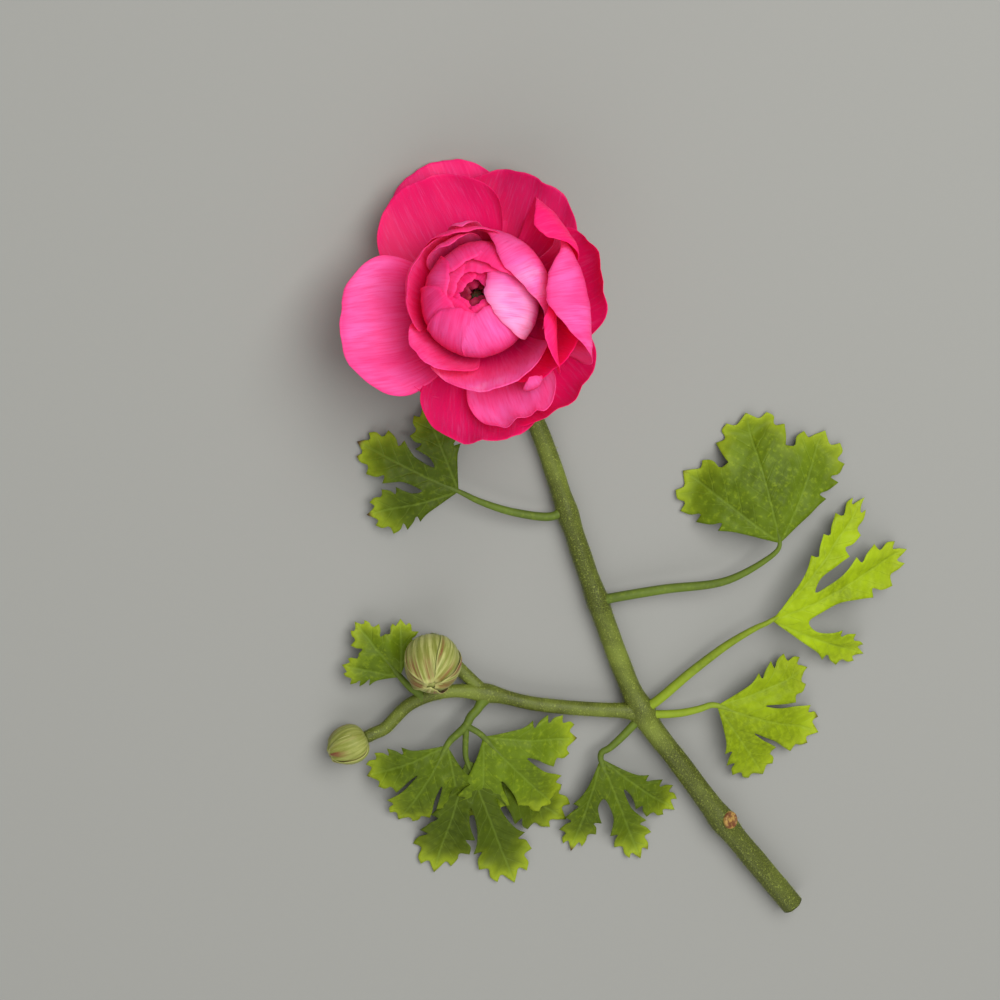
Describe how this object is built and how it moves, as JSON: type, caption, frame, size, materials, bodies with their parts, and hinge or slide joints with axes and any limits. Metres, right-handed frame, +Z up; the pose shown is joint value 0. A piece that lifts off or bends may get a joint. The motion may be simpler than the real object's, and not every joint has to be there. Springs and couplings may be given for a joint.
{
  "type": "persian buttercup flower",
  "caption": "Cut pink persian buttercup lying flat: a double bloom of layered papery petals on a bent neck, a hairy stem with buds on a side shoot, and cut leaves.",
  "frame": {"origin": "middle of the footprint on the surface that the flower lies on", "axes": "+Z up from the surface, +X along the stem from the bloom towards the cut end, +Y to the left of that"},
  "size_m": [0.2711, 0.185, 0.0546],
  "materials": {
    "petal": "soft papery",
    "carpel": "matt",
    "sepal": "matt",
    "stem": "satin, finely hairy",
    "bud": "satin, finely hairy",
    "leaf": "satin",
    "bright_leaf": "satin"
  },
  "bodies": {
    "root": {"petals": "petal", "carpel_head": "carpel", "calyx": "sepal", "flower_stem": "stem", "bud": "bud", "small_bud": "bud", "leaf_neck": "leaf", "leaf_upper": "leaf", "leaf_trident": "bright_leaf", "leaf_bright": "bright_leaf", "leaf_forked": "leaf", "leaf_shoot": "leaf", "leaf_bud": "leaf"}
  },
  "joints": []
}
